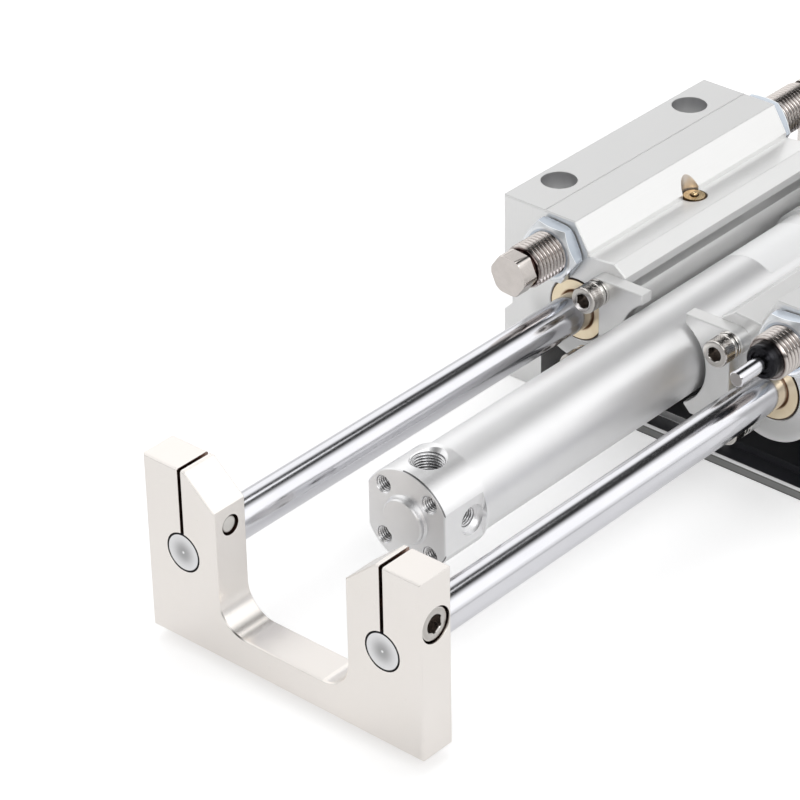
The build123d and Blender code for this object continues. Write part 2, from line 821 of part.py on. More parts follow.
def front_mount():
    """Plate that carries the rod cover, screwed to both housings."""
    x1 = half_body + front_mount_thickness
    face = RectangleRounded(
        2 * front_mount_half_width, 2 * front_mount_half_height, front_mount_corner
    )
    plate = prism_x(face, half_body, x1)
    plate -= rod_x(boss_diameter / 2 + boss_play, half_body, x1)
    half = cover_screw_pitch / 2
    for side in (-1, 1):
        for z in (-half, half):
            hole = cover_screw_diameter / 2 + shank_margin
            plate -= rod_x(hole, half_body, x1, side * half, z)
        for y, z in (upper_screw, lower_screw):
            hole = holder_screw_diameter / 2 + shank_margin
            plate -= rod_x(hole, half_body, x1, side * y, z)
        plate -= rod_x(rod_radius + rod_play, half_body, x1, side * rod_y)
        corner = nut_across / math.sqrt(3)
        plate -= rod_x(corner + nut_play, half_body, x1, side * stop_y, stop_z)
    return plate


def front_mount_screws():
    """Screws of the front mounting plate: four in the rod cover, four in the housings."""
    seat = half_body + front_mount_thickness
    half = cover_screw_pitch / 2
    screws = []
    for side in (-1, 1):
        for y, z in (upper_screw, lower_screw):
            place = Plane((seat, side * y, z), x_dir=(0, 1, 0), z_dir=(1, 0, 0))
            screws.append(cap_screw(holder_screw_diameter, front_mount_screw_length, place))
        for sz in (-1, 1):
            place = Plane((seat, side * half, sz * half), x_dir=(0, 1, 0), z_dir=(1, 0, 0))
            screws.append(cap_screw(cover_screw_diameter, cover_bolt_length, place))
    return screws


def grease_nipple():
    """Flush brass nipple over the left rod, with its drive-in stem."""
    top = trough_z + nipple_proud
    head = rod_z(nipple_radius, nipple_seat_z, top, 0, nipple_y)
    head = chamfer(head.edges().filter_by(GeomType.CIRCLE).sort_by(Axis.Z)[-1], nipple_break)
    head += rod_z(nipple_radius / 2, nipple_seat_z - nipple_stem, nipple_seat_z, 0, nipple_y)
    return head - Pos(0, nipple_y, top) * Sphere(nipple_ball + press_gap)


def nipple_ball_shape():
    """Check ball in the middle of the left nipple."""
    return Pos(0, nipple_y, trough_z + nipple_proud) * Sphere(nipple_ball)


def save(name, *shapes):
    """Write one node, raised so that the mounting face lies at height zero."""
    whole = Compound(children=[Pos(0, 0, axis_height) * s for s in shapes])
    nodes[name] = whole


def at_front(shape, further=0.0):
    """A rear piece's mirror image at the front of the body, set further out by a length."""
    return Pos(further, 0, 0) * mirror(shape, about=Plane.YZ)


left, right = both_sides(guide_housing())
save("guide_housing_left", left)
save("guide_housing_right", right)
save("base_plate", base_plate())
save("base_plate_screws", *side_screws())
for name, x0, x1, mouth in (
    ("rear", -half_body, -half_body + bush_length, -half_body),
    ("front", half_body - bush_length, half_body, half_body),
):
    left, right = both_sides(bush(x0, x1, mouth))
    save("guide_bush_" + name + "_left", left)
    save("guide_bush_" + name + "_right", right)
left, right = both_sides(grease_nipple())
save("grease_nipple_left", left)
save("grease_nipple_right", right)
save("nipple_balls", *both_sides(nipple_ball_shape()))
left, right = both_sides(holder())
save("cylinder_holder_left", left)
save("cylinder_holder_right", right)
save("holder_screws", *holder_screws())
save("holder_washers", *holder_washers())
save("front_mount_plate", front_mount())
save("front_mount_screws", *front_mount_screws())
front_extra = front_stop_tip - rear_stop_tip
save("stop_bolt_rear", stop_bolt())
save("stop_bolt_front", at_front(stop_bolt(), front_extra))
left, right = both_sides(lock_nut(rear_nut_turn))
save("lock_nut_rear_left", left)
save("lock_nut_rear_right", right)
left, right = both_sides(lock_nut(front_nut_turn))
save("lock_nut_front_left", at_front(left))
save("lock_nut_front_right", at_front(right))
rear_tube = both_sides(absorber_body())[1]
rear_ring = both_sides(absorber_end_ring())[1]
save("shock_absorber_rear", rear_tube)
save("shock_absorber_front", at_front(rear_tube, front_extra))
save("absorber_ring_rear", rear_ring)
save("absorber_ring_front", at_front(rear_ring, front_extra))
save("absorber_pin_rear", both_sides(absorber_pin(pin_lead))[1])
save("absorber_pin_front", at_front(both_sides(absorber_pin(0.0))[1], front_extra))
save("head_cover", head_cover())
save("rod_cover", rod_cover())
save("cylinder_tube", cylinder_tube())
save("tube_gaskets", *tube_gaskets())
save("piston_rod_bush", rod_bush())
save("piston_rod_seal", rod_seal())
rear_ring, front_ring = bumpers()
save("bumper_rear", rear_ring)
save("bumper_front", front_ring)
save("piston", piston())
seal_x, magnet_x, wear_x = ring_places()
save("piston_seal", piston_ring(seal_x, bore / 2 - running_gap))
save("piston_magnet", piston_ring(magnet_x, bore / 2 - piston_clearance - 0.05))
save("piston_wear_ring", piston_ring(wear_x, bore / 2 - running_gap))
save("piston_rod", piston_rod())
save("rear_plate", rear_plate())
save("rear_clamp_screws", *clamp_screws())
left, right = both_sides(rod_bars())
save("guide_rod_left", left)
save("guide_rod_right", right)
save("front_plate", front_plate())
save("rod_end_screws", *rod_screws())

os.makedirs("parts", exist_ok=True)
for name, shape in nodes.items():
    export_step(shape, "parts/" + name + ".step")
print(len(nodes), "nodes, travel", round(travel, 3))
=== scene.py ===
import math

import bpy
import numpy as np
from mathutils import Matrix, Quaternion, Vector


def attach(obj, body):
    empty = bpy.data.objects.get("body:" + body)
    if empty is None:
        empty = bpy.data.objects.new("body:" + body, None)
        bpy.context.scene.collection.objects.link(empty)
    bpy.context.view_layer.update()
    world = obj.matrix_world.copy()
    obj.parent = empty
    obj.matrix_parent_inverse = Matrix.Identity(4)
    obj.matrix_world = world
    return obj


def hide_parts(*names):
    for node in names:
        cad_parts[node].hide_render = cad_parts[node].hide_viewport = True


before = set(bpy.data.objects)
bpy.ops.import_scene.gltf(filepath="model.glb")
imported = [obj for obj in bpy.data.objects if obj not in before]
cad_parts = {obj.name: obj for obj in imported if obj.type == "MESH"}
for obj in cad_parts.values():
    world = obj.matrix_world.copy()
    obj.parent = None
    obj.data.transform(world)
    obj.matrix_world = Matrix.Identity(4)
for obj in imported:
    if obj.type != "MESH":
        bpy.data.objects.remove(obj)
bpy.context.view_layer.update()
scene = bpy.context.scene

# Camera. It stands behind the unit, to its right and above it, about 1.1 m off with a long lens,
# and is shifted so that the unit sits in the frame as it does in the photograph.
MM = 0.001
SENSOR = 36.0
FOCAL_SHARE = 4.32952
LENS_SHIFT = (-0.0205, 0.1057)
CAMERA_PLACE = (-0.7576, -0.5247, 0.5552)
CAMERA_AZIMUTH = math.radians(41.50)
CAMERA_DIP = math.radians(32.91)
CAMERA_ROLL = math.radians(-1.02)
lens = bpy.data.cameras.new("camera")
lens.sensor_width = SENSOR
lens.lens = SENSOR * FOCAL_SHARE
lens.shift_x, lens.shift_y = LENS_SHIFT
lens.clip_start = 0.05
lens.clip_end = 30.0
camera = bpy.data.objects.new("camera", lens)
camera.location = CAMERA_PLACE
look = Vector((
    math.cos(CAMERA_DIP) * math.cos(CAMERA_AZIMUTH),
    math.cos(CAMERA_DIP) * math.sin(CAMERA_AZIMUTH),
    -math.sin(CAMERA_DIP),
))
level_turn = look.to_track_quat("-Z", "Y")
roll = Quaternion((0, 0, 1), CAMERA_ROLL)
camera.rotation_euler = (level_turn @ roll).to_euler()
scene.collection.objects.link(camera)
scene.camera = camera
scene.view_settings.view_transform = "Standard"


# Studio. A pale floor, a white room, and soft lamps overhead and at the right. Metal sees long
# white screens on both sides with a dark gap overhead between them, which draws the bands on the
# rods, a grey line at each horizon, and a dark room low behind the camera.
class Wire:
    """An output socket of a shader tree. Arithmetic on it adds Math nodes to the tree."""

    def __init__(self, tree, socket):
        self.tree = tree
        self.socket = socket

    def maths(self, operation, first, second):
        """The outcome of a Math node on two wires or numbers."""
        node = self.tree.nodes.new("ShaderNodeMath")
        node.operation = operation
        feed(self.tree, node.inputs[0], first)
        feed(self.tree, node.inputs[1], second)
        return Wire(self.tree, node.outputs[0])

    def __add__(self, other):
        return self.maths("ADD", self, other)

    def __radd__(self, other):
        return self.maths("ADD", other, self)

    def __sub__(self, other):
        return self.maths("SUBTRACT", self, other)

    def __rsub__(self, other):
        return self.maths("SUBTRACT", other, self)

    def __mul__(self, other):
        return self.maths("MULTIPLY", self, other)

    def __rmul__(self, other):
        return self.maths("MULTIPLY", other, self)

    def __gt__(self, other):
        return self.maths("GREATER_THAN", self, other)

    def __lt__(self, other):
        return self.maths("LESS_THAN", self, other)

    def output(self, name):
        """Another output of the same node."""
        return Wire(self.tree, self.socket.node.outputs[name])


def feed(tree, socket, value):
    """Link a wire to a socket, or set the socket to a plain value."""
    if isinstance(value, Wire):
        tree.links.new(value.socket, socket)
    elif hasattr(value, "__len__") and len(value) == 3 and socket.type == "RGBA":
        socket.default_value = (*value, 1.0)
    else:
        socket.default_value = value


class Shade:
    """A shader tree that is being wired."""

    def __init__(self, tree):
        self.tree = tree
        tree.nodes.clear()

    def node(self, kind, settings=None, inputs=None, output=0):
        """Add a node: its settings first, then the values or links of its sockets."""
        made = self.tree.nodes.new("ShaderNode" + kind)
        for key, value in (settings or {}).items():
            setattr(made, key, value)
        for key, value in (inputs or {}).items():
            feed(self.tree, made.inputs[key], value)
        return Wire(self.tree, made.outputs[output]) if made.outputs else made

    def step(self, value, low, high):
        """0 below low, 1 above high, and smooth between them."""
        inputs = {"Value": value, "From Min": low, "From Max": high}
        return self.node("MapRange", {"interpolation_type": "SMOOTHSTEP"}, inputs)

    def band(self, value, low, high, soft):
        """1 between low and high, 0 outside, with edges of the given softness."""
        return self.step(value, low - soft, low + soft) * (
            1 - self.step(value, high - soft, high + soft))

    def mix(self, factor, first, second):
        """Colour between first and second."""
        return self.node("Mix", {"data_type": "RGBA"}, {0: factor, 6: first, 7: second}, 2)

    def high(self, first, second):
        """The larger of two numbers."""
        return first.maths("MAXIMUM", first, second)


AMBIENT = 0.62
GAP_LEVEL = 0.02
HORIZON_LEVEL = 0.5
BEHIND_LEVEL = 0.14
SCREEN_EXTRA = 0.34
LEFT_SHARE = 0.7
GAP_START = (66, 87)
GAP_END = (117, 132)
RIGHT_HORIZON = (0, 5, 2.5)
LEFT_HORIZON = (174, 190, 4)
RIGHT_SCREEN = (18, 64, 6)
LEFT_SCREEN = (132, 166, 4)
BEHIND_REAR = (0.45, 0.62)
BEHIND_RISE = (0.30, 0.44)
world = bpy.data.worlds.new("studio")
world.use_nodes = True
scene.world = world
room = Shade(world.node_tree)
direction = room.node("TexCoord", output="Generated")
along = room.node("SeparateXYZ", inputs={0: direction})
upward = along.output("Z")
# Degrees about X: 0 at the right horizon, 90 overhead and 180 at the left horizon
turn = along.maths("ARCTAN2", upward, 0 - along.output("Y")) * math.degrees(1)
gap = room.step(turn, *GAP_START) * (1 - room.step(turn, *GAP_END)) * (1 - GAP_LEVEL)
horizon = room.high(room.band(turn, *RIGHT_HORIZON), room.band(turn, *LEFT_HORIZON))
horizon = horizon * (1 - HORIZON_LEVEL)
behind = room.step(0 - along, *BEHIND_REAR) * (1 - room.step(upward, *BEHIND_RISE))
behind = behind * (1 - BEHIND_LEVEL)
extra = room.high(room.band(turn, *RIGHT_SCREEN), LEFT_SHARE * room.band(turn, *LEFT_SCREEN))
screens = 1 - room.high(room.high(gap, horizon), behind) + SCREEN_EXTRA * extra
rays = room.node("LightPath")
seen = rays.output("Is Camera Ray")
mirrored = room.high(rays.output("Is Glossy Ray"), rays.output("Is Transmission Ray"))
level = seen + (1 - seen) * (mirrored * screens + (1 - mirrored) * AMBIENT)
background = room.node("Background", inputs={"Color": (1, 1, 1), "Strength": level})
room.node("OutputWorld", inputs={"Surface": background})

FLOOR_HALF = 6.0
FLOOR_GREY = (0.80, 0.80, 0.80)
GLOW_SEEN = 0.42
GLOW_MIRRORED = 0.17
floor_mesh = bpy.data.meshes.new("floor")
floor_mesh.from_pydata(
    [(sx * FLOOR_HALF, sy * FLOOR_HALF, 0) for sx, sy in ((-1, -1), (1, -1), (1, 1), (-1, 1))],
    [], [(0, 1, 2, 3)])
floor = bpy.data.objects.new("floor", floor_mesh)
scene.collection.objects.link(floor)
floor_paint = bpy.data.materials.new("floor")
floor_paint.use_nodes = True
ground = Shade(floor_paint.node_tree)
rays = ground.node("LightPath")
shine = rays.output("Is Camera Ray") * GLOW_SEEN + rays.output("Is Glossy Ray") * GLOW_MIRRORED
matt = ground.node("BsdfDiffuse", inputs={"Color": FLOOR_GREY})
glow = ground.node("Emission", inputs={"Color": (1, 1, 1), "Strength": shine})
matt_and_glow = ground.node("AddShader", inputs={0: matt, 1: glow})
ground.node("OutputMaterial", inputs={"Surface": matt_and_glow})
floor_mesh.materials.append(floor_paint)


def lamp(name, place, target, size, power):
    """Square soft lamp at a place, turned to a target."""
    data = bpy.data.lights.new(name, "AREA")
    data.size = size
    data.energy = power
    holder = bpy.data.objects.new(name, data)
    holder.location = place
    aim = Vector(target) - Vector(place)
    holder.rotation_euler = aim.to_track_quat("-Z", "Y").to_euler()
    scene.collection.objects.link(holder)


MIDDLE = (-0.06, 0.0, 0.03)
lamp("overhead", (0.2, 0.3, 1.6), MIDDLE, 1.2, 7.0)
lamp("right_front", (-0.9, -1.1, 1.0), MIDDLE, 1.0, 5.0)


# Guide body. Two clear-anodised aluminium extrusions of the same section, mirrored, each with a
# foot, a land, a bevel, a trough, a lip and the round lobe that holds the guide bushes. Their ends
# are milled, and their mounting holes and nipple seats are sunk from the top.
class Finish(Shade):
    """A material with one Principled shader. Constants go straight onto the shader's sockets."""

    def __init__(self, name, **constants):
        self.material = bpy.data.materials.new(name)
        self.material.use_nodes = True
        super().__init__(self.material.node_tree)
        self.shader = self.tree.nodes.new("ShaderNodeBsdfPrincipled")
        for key, value in constants.items():
            feed(self.tree, self.shader.inputs[key.replace("_", " ")], value)
        surface = Wire(self.tree, self.shader.outputs[0])
        self.node("OutputMaterial", inputs={"Surface": surface})
        self.place = self.node("TexCoord", output="Object")
        self.x = self.node("SeparateXYZ", inputs={0: self.place})
        self.y = self.x.output("Y")
        self.z = self.x.output("Z")

    def link(self, **sockets):
        """Feed sockets of the Principled shader."""
        for key, value in sockets.items():
            feed(self.tree, self.shader.inputs[key.replace("_", " ")], value)

    def grain(self, size, stretch=(1, 1, 1), detail=3.0):
        """Noise from 0 to 1. Size is a speck's width in metres, stretched along the axes."""
        scale = tuple(1 / (size * s) for s in stretch)
        drawn = self.node("VectorMath", {"operation": "MULTIPLY"}, {0: self.place, 1: scale})
        return self.node("TexNoise", None, {"Vector": drawn, "Scale": 1.0, "Detail": detail})

    def size(self, value):
        """Distance of a number from zero."""
        return value.maths("ABSOLUTE", value, 0)

    def radius(self, first, second):
        """Length of the hypotenuse of two distances."""
        return self.node("Math", {"operation": "SQRT"}, {0: first * first + second * second})

    def lathe(self, from_middle, distortion, detail):
        """Rings that a lathe tool leaves on a face, from 0 to 1, about the middle of the face."""
        vector = self.node("CombineXYZ", None, {0: from_middle})
        return self.node("TexWave", {"wave_type": "BANDS", "bands_direction": "X"}, {
            "Vector": vector, "Scale": 900.0, "Distortion": distortion, "Detail": detail})

    def painted_shade(self):
        """Painted shade of a point of a made piece, 0 to 1: dark in grooves, sockets, thread roots
        and other hollows.
        """
        return self.node("Attribute", {"attribute_name": "painted_shade"}, output="Fac")

    def bump(self, height, depth, strength=1.0, edge=0.0):
        """Feed the normal from a height of 0 to 1 that is depth metres high, over edges
        that are rounded to the radius edge."""
        inputs = {"Height": height, "Distance": depth, "Strength": strength}
        if edge:
            inputs["Normal"] = self.node("Bevel", {"samples": 4}, {"Radius": edge})
        self.link(Normal=self.node("Bump", None, inputs))

    def give(self, *names):
        """Put the material on CAD nodes."""
        for name in names:
            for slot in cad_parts[name].material_slots:
                slot.material = self.material


HALF_BODY = 50 * MM
AXIS = 33.5 * MM
BODY_TOP = AXIS + 29.5 * MM
ROD_Y = 35.75 * MM
NIPPLE_Y = 30.2 * MM
NIPPLE_SEAT = 4.2 * MM
MOUNT_X = 32.5 * MM
MOUNT_Y = 57 * MM
MOUNT_BORE = 5.7 * MM
extruded = Finish("extruded_aluminium", Metallic=0.72)
milled = extruded.step(extruded.size(extruded.x), HALF_BODY - 0.1 * MM, HALF_BODY - 0.02 * MM)
drawn_lines = extruded.grain(0.25 * MM, (60, 1, 1))
mill_lines = extruded.grain(0.3 * MM, (1, 1, 25))
cloud = extruded.grain(14 * MM)
tone = drawn_lines * (1 - milled) + mill_lines * milled
metal = extruded.mix(tone * 0.5 + cloud * 0.5, (0.83, 0.83, 0.825), (0.91, 0.91, 0.905))
# Painted shade: the top land is painted halfway towards a dark grey.
land = extruded.step(extruded.z, BODY_TOP - 0.3 * MM, BODY_TOP - 0.1 * MM) * (1 - milled)
metal = extruded.mix(land * 0.5, metal, (0.54, 0.54, 0.54))
# Painted shade and painted light in the mounting bores: their walls are painted dark near the top and
# near white lower down.
from_mount = extruded.radius(extruded.size(extruded.x) - MOUNT_X, extruded.size(extruded.y) - MOUNT_Y)
bore_wall = (from_mount < MOUNT_BORE) * (extruded.z < BODY_TOP - 0.2 * MM)
bore_wall = bore_wall * (extruded.z > AXIS + 9 * MM)
wall_rise = extruded.step(extruded.z, AXIS + 22 * MM, BODY_TOP - 0.7 * MM)
wall_shade = extruded.mix(wall_rise, (0.97, 0.97, 0.97), (0.50, 0.50, 0.51))
metal = extruded.mix(bore_wall, metal, wall_shade)
# Painted shade: the milled ends are painted darker round the lower part of each lobe.
from_rod = extruded.radius(extruded.size(extruded.y) - ROD_Y, extruded.z - AXIS)
painted_lobe_shade = milled * (1 - extruded.step(from_rod, 14 * MM, 20 * MM)) * (
    1 - extruded.step(extruded.z, AXIS - 12 * MM, AXIS + 6 * MM))
metal = extruded.mix(painted_lobe_shade * 0.6, metal, (0.36, 0.36, 0.36))
# Painted shade: the walls of the nipple seats are painted a darker warm grey.
from_nipple = extruded.radius(extruded.x, extruded.size(extruded.y) - NIPPLE_Y)
painted_seat_shade = (from_nipple < NIPPLE_SEAT) * (extruded.z > AXIS + 15 * MM)
extruded.link(
    Base_Color=extruded.mix(painted_seat_shade, metal, (0.70, 0.64, 0.58)),
    Roughness=0.28 + tone * 0.08 + cloud * 0.06,
)
extruded.bump(tone, 0.003 * MM, 0.5, 0.32 * MM)
extruded.give("guide_housing_left", "guide_housing_right")

# Base plate. Black-finished steel, stepped, held between the feet by small cap screws through
# them. Its cut ends and the riser of its step are bare, with a painted highlight along the upper
# edge, a painted shade line under it and a painted contact shadow along the foot.
RISER_X = 43.8 * MM
RIM_TOP = 4 * MM
black = Finish("black_plate")
far = black.size(black.x)
riser = (black.size(far - RISER_X) < 0.1 * MM) * (black.z > RIM_TOP - 0.1 * MM) * (
    black.size(black.y) < 17.6 * MM)
ends = black.high(black.step(far, HALF_BODY - 0.3 * MM, HALF_BODY - 0.1 * MM), riser)
# Painted light on the bare ends: a highlight along the upper edge, a shade line under it and a
# contact shadow along the foot.
painted_edge_highlight = black.high(black.step(black.z, 2.8 * MM, 3.0 * MM), riser)
painted_shade_line = black.band(black.z, 2.45 * MM, 2.75 * MM, 0.12 * MM)
painted_contact_shadow = 1 - black.step(black.z, 0.1 * MM, 0.6 * MM)
bare = black.mix(painted_edge_highlight, (0.30, 0.30, 0.295), (0.96, 0.96, 0.96))
bare = black.mix(painted_shade_line, bare, (0.16, 0.16, 0.16))
bare = black.mix(painted_contact_shadow, bare, (0.14, 0.14, 0.14))
speck = black.grain(0.6 * MM)
patch = black.grain(9 * MM)
black.link(
    Base_Color=black.mix(
        ends,
        black.mix(speck, (0.016, 0.017, 0.021), (0.030, 0.031, 0.036)),
        bare),
    Metallic=ends,
    Roughness=0.34 + patch * 0.12 + ends * 0.05,
)
black.bump(speck, 0.01 * MM, 0.4, 0.15 * MM)
black.give("base_plate")

# Guide bushes. Turned bearing bronze, pressed into the lobes, with a dark joint round them and a
# mouth that widens round the rod, with painted shade in it. The piston rod's bush is of the same
# bronze.
BUSH_RADIUS = 10 * MM
ROD_RADIUS = 6 * MM
bronze = Finish("bearing_bronze", Metallic=1.0)
from_rod = bronze.radius(bronze.size(bronze.y) - ROD_Y, bronze.z - AXIS)
joint = bronze.step(from_rod, BUSH_RADIUS - 0.45 * MM, BUSH_RADIUS - 0.2 * MM)
# Painted shade: the bush's mouth darkens to a deep brown towards the rod.
mouth = 1 - bronze.step(from_rod, ROD_RADIUS + 0.1 * MM, ROD_RADIUS + 1.1 * MM)
lathe_marks = bronze.lathe(from_rod, 1.5, 2.0)
bronze_cloud = bronze.grain(3 * MM)
turned = bronze.mix(bronze_cloud, (0.86, 0.71, 0.49), (0.95, 0.84, 0.64))
turned = bronze.mix(mouth, turned, (0.34, 0.19, 0.10))
bronze.link(
    Base_Color=bronze.mix(joint, turned, (0.06, 0.035, 0.02)),
    Roughness=0.30 + 0.1 * lathe_marks,
)
bronze.bump(lathe_marks, 0.008 * MM, 0.4)
bronze.give("guide_bush_rear_left", "guide_bush_rear_right", "guide_bush_front_left",
            "guide_bush_front_right", "piston_rod_bush")

# Grease nipples. Flush brass nipples in the troughs, each with a check ball in its middle that is
# brass-coloured too, and with dark rings in its face and round its edge.
brass = Finish("bright_brass", Metallic=1.0)
brass_cloud = brass.grain(1.2 * MM)
from_ball = brass.radius(brass.x, brass.size(brass.y) - NIPPLE_Y)
face_ring = brass.band(from_ball, 1.0 * MM, 1.5 * MM, 0.12 * MM)
rim_ring = brass.step(from_ball, 3.2 * MM, 3.5 * MM)
brass.link(
    Base_Color=brass.mix(
        brass.high(face_ring, rim_ring),
        brass.mix(brass_cloud, (0.66, 0.47, 0.24), (0.84, 0.66, 0.42)),
        (0.07, 0.04, 0.015)),
    Roughness=0.20 + 0.12 * brass_cloud,
)
brass.bump(brass_cloud, 0.01 * MM, 0.3)
brass.give("grease_nipple_left", "grease_nipple_right", "nipple_balls")

# Cylinder holders. Claws cut from the same aluminium, blasted and anodised, one each side, screwed
# to the rear end of the body. The front mount plate at its other end is finished alike.
claw = Finish("holder_aluminium", Metallic=0.8)
blast = claw.grain(0.35 * MM)
claw_cloud = claw.grain(8 * MM)
claw.link(
    Base_Color=claw.mix(claw_cloud, (0.74, 0.74, 0.735), (0.83, 0.83, 0.825)),
    Roughness=0.33 + 0.10 * blast,
)
claw.bump(blast, 0.006 * MM, 0.5, 0.4 * MM)
claw.give("cylinder_holder_left", "cylinder_holder_right", "front_mount_plate")


# Cap screws. Stainless socket head screws with knurled heads, in the claws, the feet, the front
# mount plate and the front plate. Those in the claws sit on a spring washer and a plain washer.
def surface(rows, painted_shade=0.0, closed=False):
    """Corners, faces and painted shade of a tube whose rows are rings of points. Each cell between
    two rings is one face. The ends are capped, or with closed the last ring is joined to the first."""
    count, around = rows.shape[:2]
    number = np.arange(count * around).reshape(count, around)
    below = number if closed else number[:-1]
    above = np.roll(number, -1, axis=0) if closed else number[1:]
    cells = np.stack([below, np.roll(below, -1, 1), np.roll(above, -1, 1), above], -1)
    faces = cells.reshape(-1, 4).tolist()
    if not closed:
        faces += [number[0][::-1].tolist(), number[-1].tolist()]
    return rows.reshape(-1, 3), faces, np.broadcast_to(painted_shade, (count, around)).reshape(-1)


def spun(x, radius, angles):
    """Rings about the X axis: the point at angle a of a ring is (x, r cos a, r sin a), where
    x and r may change along the rings and round them."""
    x = np.broadcast_to(x, radius.shape)
    return np.stack([x, radius * np.cos(angles), radius * np.sin(angles)], -1)


def placed(part, origin, axis):
    """Turn a part from the X axis onto another axis, then move it to its origin."""
    points, faces, painted_shade = part
    axis = np.array(axis, float)
    side = np.array((0.0, 1.0, 0.0)) if abs(axis[1]) < 0.5 else np.array((1.0, 0.0, 0.0))
    up = np.cross(axis, side)
    return points @ np.array([axis, side, up]) + np.array(origin), faces, painted_shade


def piece(name, parts, material, body, sharp=32.0):
    """One object made of parts, riding on a body, with the given material."""
    points, faces, start = [], [], 0
    for part_points, part_faces, _ in parts:
        points.append(part_points)
        faces += [[start + i for i in face] for face in part_faces]
        start += len(part_points)
    mesh = bpy.data.meshes.new(name)
    mesh.from_pydata(np.concatenate(points).tolist(), [], faces)
    # The painted shade of each point is kept in a point attribute.
    depth = mesh.attributes.new("painted_shade", "FLOAT", "POINT")
    depth.data.foreach_set("value", np.concatenate([part[2] for part in parts]))
    mesh.polygons.foreach_set("use_smooth", np.ones(len(faces), bool))
    mesh.set_sharp_from_angle(angle=math.radians(sharp))
    mesh.materials.append(material)
    made = bpy.data.objects.new(name, mesh)
    scene.collection.objects.link(made)
    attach(made, body)
    return made


def angles_round(count):
    """Angles of the points of a ring."""
    return np.arange(count) * (2 * math.pi / count)


def zigzag(phase):
    """0 at whole numbers and 1 halfway between them, with straight sides."""
    return 1 - np.abs(2 * (phase - np.floor(phase)) - 1)


def hexagon(angles, across):
    """Distance from the middle of a hexagon to its edge: half its width across flats over the
    cosine of the angle from the nearest flat's middle."""
    sector = math.pi / 3
    off = np.mod(angles + sector / 2, sector) - sector / 2
    return across / 2 / np.cos(off)


def cap_screw(diameter, length, around=160):
    """Socket head screw along X, with the underside of its head at zero. Each ring has a radius;
    on the head's side a diamond knurl of crossed zigzags is cut into it, and in the socket the
    radius follows a hexagon. Painted shade darkens the tip, the knurl's grooves, the edge over it
    and the socket, and the head's face a little."""
    angles = angles_round(around)
    knurls = 36
    knurl_rise = 0.9 * MM
    knurl_depth = 0.16 * MM
    head = 0.75 * diameter + 0.5 * MM
    shank = diameter / 2
    key = 0.86 * diameter
    knurl_rows = np.linspace(0.10, 0.86, 11) * diameter
    x = np.concatenate([
        [-length, -length, -length + 0.12 * diameter],
        [-0.02 * diameter, 0.0, 0.0, 0.05 * diameter],
        knurl_rows,
        np.array([0.89, 0.97, 1.0, 1.0, 0.96, 0.45, 0.40]) * diameter,
    ])
    radius = np.concatenate([
        [0.66 * shank, 0.8 * shank, shank, shank, 1.04 * shank, 0.96 * head, head],
        np.full(len(knurl_rows), head),
        [head, 0.955 * head, 0.88 * head, 0.56 * key, 0.0, 0.0, 0.0],
    ])
    radius = np.repeat(radius[:, None], around, 1)
    knurled = slice(7, 7 + len(knurl_rows))
    rise = x[knurled, None] / knurl_rise
    turns = angles * knurls / (2 * math.pi)
    cut = np.maximum(zigzag(turns + rise), zigzag(turns - rise))
    radius[knurled] -= knurl_depth * cut
    radius[-3:-1] = hexagon(angles, key)
    radius[-1] = hexagon(angles, 0.25 * key)
    # Painted shade: dark at the tip, in the knurl's grooves, over the knurl and down the socket, and
    # a little on the head's face.
    painted_shade = np.zeros(radius.shape)
    painted_shade[1:3] = 0.7
    painted_shade[knurled] = cut * cut
    painted_shade[-7:] = np.array([0.6, 0.0, 0.35, 0.25, 0.45, 0.8, 0.95])[:, None]
    return surface(spun(x[:, None], radius, angles), painted_shade)


def washer(x0, x1, inner, outer, around=96):
    """Flat ring along X with broken outer edges."""
    edge = 0.15 * MM
    x = np.array([x0, x0, x0 + edge, x1 - edge, x1, x1])
    radius = np.array([inner, outer - edge, outer, outer, outer - edge, inner])
    rings = np.repeat(radius[:, None], around, 1)
    return surface(spun(x[:, None], rings, angles_round(around)), closed=True)


def spring_washer(x0, x1, inner, outer, around=72):
    """Split ring along X: a square section carried once round, rising by three tenths of the room
    between x0 and x1, with a gap between its ends."""
    angles = np.linspace(math.radians(8), math.radians(352), around)[:, None]
    rise = (x1 - x0) * 0.3
    edge = 0.12 * MM
    thick = (x1 - x0) - rise
    radius = np.array([[inner, outer - edge, outer, outer, outer - edge, inner]])
    height = np.array([[0, 0, edge, thick - edge, thick, thick]])
    x = x0 + height + rise * angles / (2 * math.pi)
    return surface(spun(x, np.repeat(radius, around, 0), angles)[::-1])


steel = Finish("stainless_steel", Metallic=1.0)
scuff = steel.grain(0.5 * MM)
steel_cloud = steel.grain(3 * MM)
# Painted shade: the screws' tips, knurl grooves and sockets are painted dark brown.
steel.link(
    Base_Color=steel.mix(
        steel.painted_shade(),
        steel.mix(steel_cloud, (0.65, 0.63, 0.60), (0.81, 0.79, 0.76)),
        (0.12, 0.09, 0.075)),
    Roughness=0.16 + 0.14 * scuff,
)
steel.bump(scuff, 0.01 * MM, 0.5)

